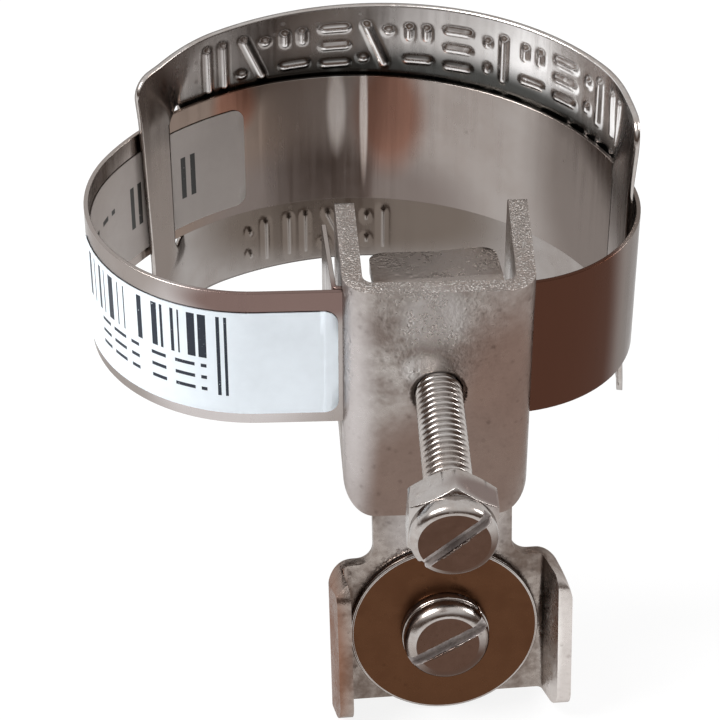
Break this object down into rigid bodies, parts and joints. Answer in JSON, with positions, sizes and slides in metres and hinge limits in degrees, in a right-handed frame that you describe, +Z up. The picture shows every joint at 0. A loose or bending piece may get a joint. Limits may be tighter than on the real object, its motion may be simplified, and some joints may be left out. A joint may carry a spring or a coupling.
{
  "type": "earthing pipe clamp",
  "caption": "Earth bonding clamp: channel body, thin strap round a pipe, screw-driven saddle with a winged earth terminal, lock nut and a curved metal tag.",
  "frame": {"origin": "where the clamping screw's axis meets the axis of the pipe that the loop is set for", "axes": "+Z up along the pipe, +Y from the clamping screw's head towards the pipe, +X to the right seen from the head"},
  "size_m": [0.0477, 0.0568, 0.051],
  "materials": {
    "plated_steel": "zinc plated, slightly rough",
    "strap_metal": "bright rolled",
    "tag_metal": "mill finish, embossed",
    "screw_plating": "bright plated",
    "washer_metal": "bright plated, turned",
    "label_film": "printed white film"
  },
  "bodies": {
    "body": {"clamp_body": "plated_steel", "strap": "strap_metal", "outer_label": "label_film", "inner_label": "label_film"},
    "tag": {"warning_tag": "tag_metal"},
    "saddle": {"terminal_saddle": "plated_steel"},
    "screw": {"clamping_screw": "screw_plating"},
    "nut": {"lock_nut": "screw_plating"},
    "washer": {"terminal_washer": "washer_metal"},
    "terminal_screw": {"terminal_screw": "screw_plating", "spring_washer": "screw_plating"}
  },
  "joints": [
    {"name": "saddle_slide", "type": "slide", "parent": "body", "child": "saddle", "axis": [0, 1, 0], "range_m": [0, 0.008]},
    {"name": "clamping_screw_turn", "type": "hinge", "parent": "saddle", "child": "screw", "pos_m": [0, 0, 0], "axis": [0, 1, 0], "range_deg": [0, 4116]},
    {"name": "lock_nut_run", "type": "slide", "parent": "screw", "child": "nut", "axis": [0, 1, 0], "range_m": [0, 0.0055]},
    {"name": "washer_lift", "type": "slide", "parent": "saddle", "child": "washer", "axis": [0.0506, -0.986, 0.159], "range_m": [0, 0.003]},
    {"name": "terminal_screw_turn", "type": "hinge", "parent": "washer", "child": "terminal_screw", "pos_m": [0.0009, -0.02514, -0.02616], "axis": [0.0506, -0.986, 0.159], "range_deg": [0, 1544]},
    {"name": "tag_slide_round", "type": "hinge", "parent": "body", "child": "tag", "pos_m": [-0.0062, -0.01285, 0], "axis": [0, 0, 1], "range_deg": [-1.5, 8]}
  ],
  "couplings": [
    {"joint": "clamping_screw_turn", "follows": "saddle_slide", "rad_per_m": 8976},
    {"joint": "terminal_screw_turn", "follows": "washer_lift", "rad_per_m": 8976}
  ]
}
